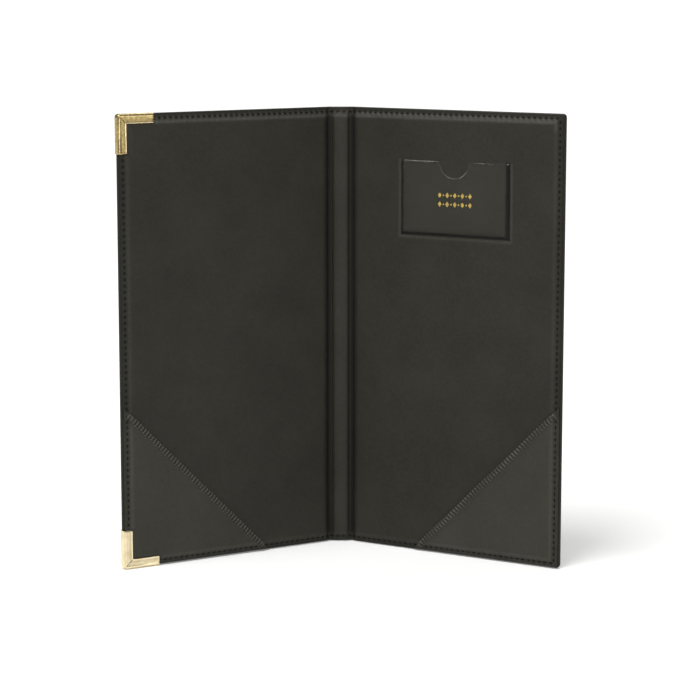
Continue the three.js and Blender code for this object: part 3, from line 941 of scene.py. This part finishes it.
def buildPocket(side):
    under, inset = cornerPocket["underside"], lining["inset"]
    turn = math.pi * cornerPocket["hemThick"] / 2
    piece = newGrid(f"{prefixOf[side]}_corner_pocket_sheet", (0, diagonal),
                    (-turn - under, diagonal / 2), cornerPocket["cell"])
    nearEnds = 2 * math.sqrt(2) * inset
    for along, facing in ((nearEnds / 2, -1), (diagonal - nearEnds / 2, 1)):
        for slope in (-1, 1):
            bpy.ops.mesh.select_all(action="SELECT")
            bpy.ops.mesh.bisect(plane_co=(along, 0, 0), plane_no=(facing, slope, 0),
                                clear_outer=True)

    def nearSeam(p, q):
        nearEdge = min(p, diagonal - p) - q < lining["band"] * math.sqrt(2)
        return q < cornerPocket["hem"] + 2 or nearEdge

    refine(piece, nearSeam, cornerPocket["cuts"])
    deselect()
    flat = coordinates(piece)
    p, q = flat[:, 0], flat[:, 1]
    radius = cornerPocket["hemThick"] / 2
    angle = np.clip(-q / radius, 0, math.pi)
    wrapped = np.where(q < 0, -radius * np.sin(angle) + np.maximum(-q - turn, 0), q)
    drop = np.where(q < 0, radius * (1 - np.cos(angle)), 0)
    s = section["reach"] - cornerPocket["leg"] + (p + wrapped) / math.sqrt(2)
    v = (p - wrapped) / math.sqrt(2)
    level = pocketLevel(side, s, v) - drop
    setCoordinates(piece, np.stack([*roundCorner(s, v), level], axis=-1))
    # Painted seam shade and highlights.
    markPoints(piece, "press", paintedSeamShading(s, v))
    standUp(piece, side, flip=True)
    applyModifier(piece, "SOLIDIFY", thickness=cornerPocket["leather"] * metre, offset=-1)
    roundShading(piece)
    giveFinish(piece, "pocket_leatherette")
    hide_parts(f"{prefixOf[side]}_corner_pocket")
    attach(piece, bodyOf[side])


for side in (-1, 1):
    buildPocket(side)
print("corner pockets built")


# Stitches: one of each kind is modelled, then copied along its seam

lockstitch = {
    "length": 2.6,
    "width": 0.68,
    "thick": 0.5,
    "arch": 0.13,
    "slant": 9.0,
    "level": 0.14,           # thread's middle over the cover's face
    "spineLevel": 0.07,
}
overcast = {
    "pitch": 2.15,
    "width": 0.82,
    "thick": 0.85,
    "inner": 3.0,            # reach of a stitch in from the diagonal edge
    "seat": 1.2,             # where on that reach its level is taken
    "level": 0.1,
    "slant": 5.0,
    "ends": 7.6,             # left free, both ends together
}


def threadRings(path, width, thick, sides=6):
    # Rings of a flattened thread round a path of (x, z, share of the full width).
    rings = []
    for x, z, share in path:
        angles = [2 * math.pi * (i + 0.5) / sides for i in range(sides)]
        rings.append([(x, math.cos(a) * width / 2 * share, z + math.sin(a) * thick / 2 * share)
                      for a in angles])
    return rings


def buildLockstitch():
    half, arch = lockstitch["length"] / 2, lockstitch["arch"]
    path = [(-half, -arch, 0.45), (-half * 0.62, arch * 0.3, 0.92), (0, arch * 0.6, 1.0),
            (half * 0.62, arch * 0.3, 0.92), (half, -arch, 0.45)]
    return sweepRings("lockstitch", threadRings(path, lockstitch["width"], lockstitch["thick"]))


def buildOvercastStitch():
    inner = overcast["inner"]
    path = [(-0.38, -0.62, 0.7), (-0.42, -0.15, 0.95), (0.1, 0.2, 1.0), (inner * 0.45, 0.24, 1.0),
            (inner * 0.85, 0.1, 0.95), (inner, -0.4, 0.6)]
    return sweepRings("overcast_stitch", threadRings(path, overcast["width"], overcast["thick"]))


def seamSpots(side):
    # (s, v, turn) of each lockstitch of one cover.
    margin = sewing["margin"]
    reach = section["reach"] - margin
    step = reach / sewing["endCount"]
    rise = (height - 2 * margin) / sewing["sideCount"]
    spots = []
    for v in (margin, height - margin):
        for i in range(sewing["endCount"]):
            s = (i + 0.5) * step
            if s > section["ribFoot"]:
                spots.append((s, v, 0.0))
    for i in range(sewing["sideCount"]):
        spots.append((reach, margin + (i + 0.5) * rise, math.pi / 2))
    if side < 0:
        spots = [spot for spot in spots if legDistance(spot[0], spot[1]) > 0.6]
    return spots


def layStitches(name, side, face, copies):
    # Joins a seam's stitches; those of the outer face are turned over onto it.
    stitches = joinPieces(name, copies)
    if face == "outer":
        flat = coordinates(stitches)
        flat[:, 2] *= -1
        setCoordinates(stitches, flat)
    standUp(stitches, side, flip=face == "outer")
    roundShading(stitches)
    giveFinish(stitches, "seam")
    return stitches


def sewSeam(side, face, master):
    spots = []
    slant = math.radians(lockstitch["slant"])
    for s, v, turn in seamSpots(side):
        at = (np.array([s]), np.array([v]))
        if face == "inner":
            level = float(topLevel(side, *at)[0])
        else:
            level = float(sheetLevel(side, *at, "Outside")[0])
        spots.append((s, v, level + lockstitch["level"], turn + slant))
    name = f"{prefixOf[side]}_{face}_stitches"
    stitches = layStitches(name, side, face, copyTo(master, spots))
    blendAcrossHinge(stitches)


def sewSpine(face, master):
    step = (section["reach"] - sewing["margin"]) / sewing["endCount"]
    slant = math.radians(lockstitch["slant"])
    sheetFace = "Inside" if face == "inner" else "Outside"
    spots = []
    for v in (sewing["margin"], height - sewing["margin"]):
        for s in (-step / 2, step / 2):
            level = float(sheetLevel(1, np.array([s]), np.array([v]), sheetFace)[0])
            spots.append((s, v, level + lockstitch["spineLevel"], slant))
    stitches = layStitches(f"spine_{face}_stitches", 1, face, copyTo(master, spots))
    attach(stitches, "spine")


def overcastHem(side, master):
    count = int((diagonal - overcast["ends"]) / overcast["pitch"])
    first = (diagonal - (count - 1) * overcast["pitch"]) / 2
    spots = []
    for i in range(count):
        p = first + i * overcast["pitch"]
        s = section["reach"] - cornerPocket["leg"] + p / math.sqrt(2)
        v = p / math.sqrt(2)
        inwards = overcast["seat"] / math.sqrt(2)
        level = float(pocketLevel(side, np.array([s + inwards]), np.array([v - inwards]))[0])
        if side < 0 and legDistance(s, v) < 0.8:
            continue
        wobble = 0.5 * noise.noise(Vector((p / 2.3, side, 4.4)))
        turn = -math.pi / 4 + math.radians(overcast["slant"]) * (0.4 + wobble)
        spots.append((s, v, level + overcast["level"], turn))
    stitches = joinPieces(f"{prefixOf[side]}_overcast_stitches", copyTo(master, spots))
    standUp(stitches, side)
    roundShading(stitches)
    giveFinish(stitches, "overcast")
    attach(stitches, bodyOf[side])


lockMaster = buildLockstitch()
overMaster = buildOvercastStitch()
for side in (-1, 1):
    for face in ("inner", "outer"):
        sewSeam(side, face, lockMaster)
    overcastHem(side, overMaster)
for face in ("inner", "outer"):
    sewSpine(face, lockMaster)
removePiece(lockMaster)
removePiece(overMaster)
print("stitches sewn")


# Metal corners: a channel of plated sheet, folded round the cover's corner with a mitre

metalCorner = {
    "leg": metalSeat["leg"],
    "width": metalSeat["width"],
    "sheet": 0.4,
    "proud": 0.5,            # past the cover's side edge
    "back": 1.95,
    "topFront": 2.65,
    "bottomFront": 3.35,     # this one clasps the pocket too
    "cornerRound": 1.9,
    "roll": 1.3,
    "rim": 0.06,
    "rimWidth": 1.15,
    "sunk": 0.16,            # the flats lie this far below the rims
    # Painted shade on the flats and painted highlights on the rims, stronger on the top corner than on
    # the bottom one.
    "flatShade": {"top": 0.18, "bottom": 0.05},
    "rimHighlight": {"top": -0.55, "bottom": -0.14},
    "bevel": 0.55,
    "mitreDepth": 0.3,
    "mitreHalf": 0.34,
}


def channelSection(front):
    # (n, w) round the channel: n runs inwards from its outer wall, w through the cover.
    width, sheet, back = metalCorner["width"], metalCorner["sheet"], -metalCorner["back"]
    roll, bevel, rim = metalCorner["roll"], metalCorner["bevel"], metalCorner["rim"]
    quarter = [math.radians(a) for a in (90, 110, 130, 155, 180)]
    returning = quarter[::-1]
    sunk = front - metalCorner["sunk"]
    foot = width - metalCorner["rimWidth"]
    points = [(width, front - bevel), (width - 0.1, front - bevel * 0.4),
              (width - 0.3, front + rim * 0.7), (width - 0.6, front + rim), (width - 0.9, front),
              (foot, sunk), (width * 0.5, sunk), (roll + 0.4, sunk), (roll + 0.12, front)]
    points += [(roll + roll * math.cos(a), front - roll + roll * math.sin(a)) for a in quarter]
    points += [(roll + roll * math.cos(a), back + roll - roll * math.sin(a)) for a in returning]
    points += [(width - 0.5, back), (width, back + 0.25), (width, back + 0.25 + sheet * 0.4),
               (width - 0.3, back + sheet)]
    inner = roll - sheet
    points += [(roll + inner * math.cos(a), back + roll - inner * math.sin(a)) for a in quarter]
    points += [(roll + inner * math.cos(a), front - roll + inner * math.sin(a)) for a in returning]
    points += [(width - 0.5, front - sheet - 0.08), (width - 0.2, front - bevel - 0.1)]
    return points


def cornerRing(profile, a, b, drop, front):
    # One ring. a and b give a point's distance in from the side wall and from the end wall.
    ring = []
    for n, w in profile:
        lower = drop if w > front - 0.3 else 0.0
        ring.append((section["reach"] + metalCorner["proud"] - a(n), b(n), w - lower))
    return ring


def narrowed(profile, trim):
    # The leg's end has a rounded inner corner, so the channel narrows there.
    roll, width = metalCorner["roll"], metalCorner["width"]
    share = (width - trim - roll) / (width - roll)
    return [(roll + (n - roll) * share if n > roll else n, w) for n, w in profile]


def cornerRings(front):
    profile = channelSection(front)
    leg, bend = metalCorner["leg"], metalCorner["cornerRound"]
    sunk = metalCorner["sunk"]
    ends = [(0.0, 0.42, 1.1), (0.12, 0.2, 0.66), (0.32, 0.0, 0.3), (0.6, -sunk, 0.06),
            (0.9, -sunk, 0.0), (metalCorner["rimWidth"], 0.0, 0.0)]
    straight = [(leg - back, drop, trim) for back, drop, trim in ends] + [(leg * 0.42, 0.0, 0.0)]

    def fan(angle):
        def a(n):
            return bend - (bend - n) * math.cos(angle) if n < bend else n

        def b(n):
            return bend - (bend - n) * math.sin(angle) if n < bend else n
        return a, b

    rings = [cornerRing(narrowed(profile, trim), lambda n: x, lambda n: n, drop, front)
             for x, drop, trim in straight]
    beside = metalCorner["mitreHalf"]
    rings.append(cornerRing(profile, lambda n: max(n, bend) + beside, lambda n: n, 0.0, front))
    for degrees in (90, 67.5, 45, 22.5, 0):
        a, b = fan(math.radians(degrees))
        rings.append(cornerRing(profile, a, b, metalCorner["mitreDepth"], front))
    rings.append(cornerRing(profile, lambda n: n, lambda n: max(n, bend) + beside, 0.0, front))
    for x, drop, trim in reversed(straight):
        rings.append(cornerRing(narrowed(profile, trim), lambda n: n, lambda n: x, drop, front))
    return rings


def cornerShading(flat, end, front):
    # The mitre is drawn dark. Painted shade lies at the foot of the rims and a little on the flats,
    # and painted highlights on the rims, all stronger on the top corner; faces off the front get half
    # the flats' tone.
    fromSide = section["reach"] + metalCorner["proud"] - flat[:, 0]
    fromEnd = height - flat[:, 1] if end == "top" else flat[:, 1]
    inwards = np.minimum(fromSide, fromEnd)
    onFront = flat[:, 2] > front - 0.62
    mitre = (np.abs(fromSide - fromEnd) < 0.08) & (inwards > metalCorner["cornerRound"] - 0.7)
    width, plain = metalCorner["width"], metalCorner["flatShade"][end]
    foot = np.abs(inwards - (width - metalCorner["rimWidth"])) < 0.08
    rim = (inwards > width - 0.95) | (np.abs(inwards - metalCorner["roll"]) < 0.2)
    tone = np.where(foot, plain + 0.2, np.where(rim, metalCorner["rimHighlight"][end], plain))
    return np.where(onFront, np.where(mitre, 0.85, tone), plain * 0.5)


def buildMetalCorner(end):
    front = metalCorner[f"{end}Front"]
    rings = np.array(cornerRings(front))
    if end == "top":
        rings[:, :, 1] = height - rings[:, :, 1]
    piece = sweepRings(f"{end}_metal_corner_plate", rings)
    # The corner's painted shade and highlights.
    markPoints(piece, "press", cornerShading(coordinates(piece), end, front))
    standUp(piece, -1)
    editAll(piece)
    bpy.ops.mesh.normals_make_consistent(inside=False)
    roundShading(piece, 32)
    giveFinish(piece, "corner_metal" if end == "bottom" else "shaded_top_metal")
    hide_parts(f"{end}_metal_corner")
    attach(piece, "front_cover")


for end in ("top", "bottom"):
    buildMetalCorner(end)
print("metal corners built")


# Card pocket: clear film, welded on three sides and open at the top, with a thumb notch

def notchDepth(offset):
    radius = cardPocket["notchRadius"]
    return np.sqrt(np.maximum(radius ** 2 - offset ** 2, 0))


def filmLevel(s, v):
    inward = weldDistance(s, v)
    over = smooth(ramp(inward, cardPocket["weldWidth"], cardPocket["weldWidth"] + 1.6))
    top = cardPocket["top"]
    belly = cardPocket["belly"] * smooth(ramp(inward, 2, 24)) * ramp(v, top - 40, top)
    lipUp = cardPocket["lipUp"] * ramp(v, top - 3, top)
    rest = liningLevel(1, s, v) + cardPocket["film"] + cardPocket["rest"]
    return rest + over * (cardPocket["slot"] + belly + lipUp)


def buildFilm():
    # A grid from -1 to 1 across and 0 to 1 up, whose columns gather at the notch.
    width, tall = cardPocket["width"], cardPocket["tall"]
    radius = cardPocket["notchRadius"]
    piece = newGrid("card_pocket_film", (-1, 1), (0, 1), cardPocket["filmCell"])
    deselect()
    flat = coordinates(piece)
    x, y = flat[:, 0], flat[:, 1]
    notch = 0.3
    inside = np.abs(x) < notch
    inNotch = radius * np.sin(np.clip(x / notch, -1, 1) * math.pi / 2)
    beside = radius + (np.abs(x) - notch) / (1 - notch) * (width / 2 - radius)
    offset = np.where(inside, inNotch, np.sign(x) * beside)
    topEdge = tall - np.where(inside, notchDepth(offset), 0)
    s = cardPocket["left"] + width / 2 + offset
    v = cardPocket["top"] - tall + y * topEdge
    setCoordinates(piece, np.stack([s, v, filmLevel(s, v)], axis=-1))
    # A painted glint along the open cut edge, broken up by noise, and a painted highlight where the
    # right-hand weld meets the top.
    glint = [0.35 + 1.3 * noise.noise(Vector((a / 7, b / 7, 2.2))) for a, b in zip(s, v)]
    onCutEdge = y > 1 - cardPocket["filmCell"] / 2
    fused = weldMarks(s, v)[0]
    endS = cardPocket["left"] + width - cardPocket["rightLine"] / 2
    weldEndGlint = hump(s - endS, 0.8) * hump(v - cardPocket["top"], 0.8)
    markPoints(piece, "press", np.clip(glint, 0.05, 0.8) * onCutEdge - fused + 2 * weldEndGlint)
    standUp(piece, 1)
    applyModifier(piece, "SOLIDIFY", thickness=cardPocket["film"] * metre, offset=-1)
    roundShading(piece)
    giveFinish(piece, "clear_film")
    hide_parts("card_pocket")
    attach(piece, "back_cover")


buildFilm()

# A stamped ornament under the film: two rows of small lozenges between dots

ornament = {
    "rows": (206.3, 201.2),
    "wide": 19.0,
    "count": 5,
    "long": 2.2,
    "tall": 3.0,
    "dot": 0.95,
    "thick": 0.05,
    "level": 0.02,           # over the lining
}


def buildLozenge(name, long, tall, corners):
    # A flat stamp of foil with a softened edge: its foot, its shoulder and its face.
    thick = ornament["thick"]
    angles = [2 * math.pi * i / corners for i in range(corners)]
    rings = []
    for share, level in ((1.0, -thick), (1.0, thick * 0.6), (0.9, thick)):
        rings.append([(long / 2 * math.cos(a) * share, tall / 2 * math.sin(a) * share, level)
                      for a in angles])
    return sweepRings(name, rings)


def buildOrnament():
    lozenge = buildLozenge("lozenge", ornament["long"], ornament["tall"], 4)
    dot = buildLozenge("dot", ornament["dot"], ornament["dot"], 8)
    middle = cardPocket["left"] + cardPocket["width"] / 2
    step = ornament["wide"] / (2 * ornament["count"] - 2)
    pieces = []
    for v in ornament["rows"]:
        for i in range(2 * ornament["count"] - 1):
            s = middle - ornament["wide"] / 2 + i * step
            level = float(liningLevel(1, np.array([s]), np.array([v]))[0])
            stamp = lozenge if i % 2 == 0 else dot
            pieces += copyTo(stamp, [(s, v, level + ornament["level"], 0.0)])
    for master in (lozenge, dot):
        removePiece(master)
    piece = joinPieces("stamped_ornament", pieces)
    standUp(piece, 1)
    giveFinish(piece, "foil")
    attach(piece, "back_cover")


buildOrnament()
print("card pocket built")


# Floor, light and camera

camera = {
    "place": (-6.96, -1324.3, 335.0),
    "tiltDown": 9.04,
    "turn": -0.28,
    "lens": 125.5,
}
lamps = {
    "key": {"place": (-430, -520, 1450), "size": 800, "power": 21.0},
    "fill": {"place": (520, -900, 260), "size": 500, "power": 1.5},
    "back": {"place": (100, 620, 900), "size": 600, "power": 3.5},
}
studio = {
    "worldOnObject": 0.3,
    "floorLift": (0.15, 0.8),    # near the object and far off, for rays that see the background
    "liftReach": (0.25, 1.6),    # metres
}


def makeFloor():
    deselect()
    bpy.ops.mesh.primitive_plane_add(size=60)
    floor = bpy.context.object
    floor.name = "floor"
    floor.location.z = -0.0002
    material = newMaterial("plain white floor")
    rays = addNode(material, "ShaderNodeLightPath")
    seen = addNode(material, "ShaderNodeMath",
                   {0: (rays, "Is Camera Ray"), 1: (rays, "Is Glossy Ray")}, operation="MAXIMUM")
    through = addNode(material, "ShaderNodeMath",
                      {0: (seen, "Value"), 1: (rays, "Is Transmission Ray")}, operation="MAXIMUM")
    places = addNode(material, "ShaderNodeTexCoord")
    away = addNode(material, "ShaderNodeVectorMath", {0: (places, "Object")}, operation="LENGTH")
    farLift = addNode(material, "ShaderNodeMapRange",
                      {"Value": (away, "Value"), "From Min": studio["liftReach"][0],
                       "From Max": studio["liftReach"][1], "To Min": studio["floorLift"][0],
                       "To Max": studio["floorLift"][1]}, interpolation_type="SMOOTHSTEP")
    lift = addNode(material, "ShaderNodeMath", {0: (through, "Value"), 1: (farLift, "Result")},
                   operation="MULTIPLY")
    shader = addNode(material, "ShaderNodeBsdfPrincipled",
                     {"Base Color": linear("#FAFAF8"), "Roughness": 0.9,
                      "Emission Color": linear("#FFFFFF"), "Emission Strength": (lift, "Value")})
    floor.data.materials.append(finishMaterial(material, (shader, "BSDF")))


def makeWorld():
    world = bpy.data.worlds.new("studio")
    bpy.context.scene.world = world
    world.use_nodes = True
    world.node_tree.nodes.clear()
    rays = addNode(world, "ShaderNodeLightPath")
    strength = addNode(world, "ShaderNodeMapRange",
                       {"Value": (rays, "Is Camera Ray"), "To Min": studio["worldOnObject"],
                        "To Max": 1.0})
    background = addNode(world, "ShaderNodeBackground",
                         {"Color": linear("#FFFFFF"), "Strength": (strength, "Result")})
    addNode(world, "ShaderNodeOutputWorld", {"Surface": (background, "Background")})


def makeLamp(name, settings):
    data = bpy.data.lights.new(name, "AREA")
    data.energy = settings["power"]
    data.size = settings["size"] * metre
    lamp = bpy.data.objects.new(name, data)
    bpy.context.collection.objects.link(lamp)
    lamp.location = Vector(settings["place"]) * metre
    towards = Vector((0, 0, height / 2 * metre)) - lamp.location
    lamp.rotation_euler = towards.to_track_quat("-Z", "Y").to_euler()


def makeCamera():
    data = bpy.data.cameras.new("camera")
    data.lens = camera["lens"]
    data.sensor_width = 36.0
    data.clip_end = 100.0
    view = bpy.data.objects.new("camera", data)
    bpy.context.collection.objects.link(view)
    view.location = Vector(camera["place"]) * metre
    view.rotation_euler = (math.radians(90 - camera["tiltDown"]), 0, math.radians(camera["turn"]))
    bpy.context.scene.camera = view


makeFloor()
makeWorld()
for name, settings in lamps.items():
    makeLamp(name, settings)
makeCamera()
bpy.context.scene.view_settings.view_transform = "Standard"
print("studio set")
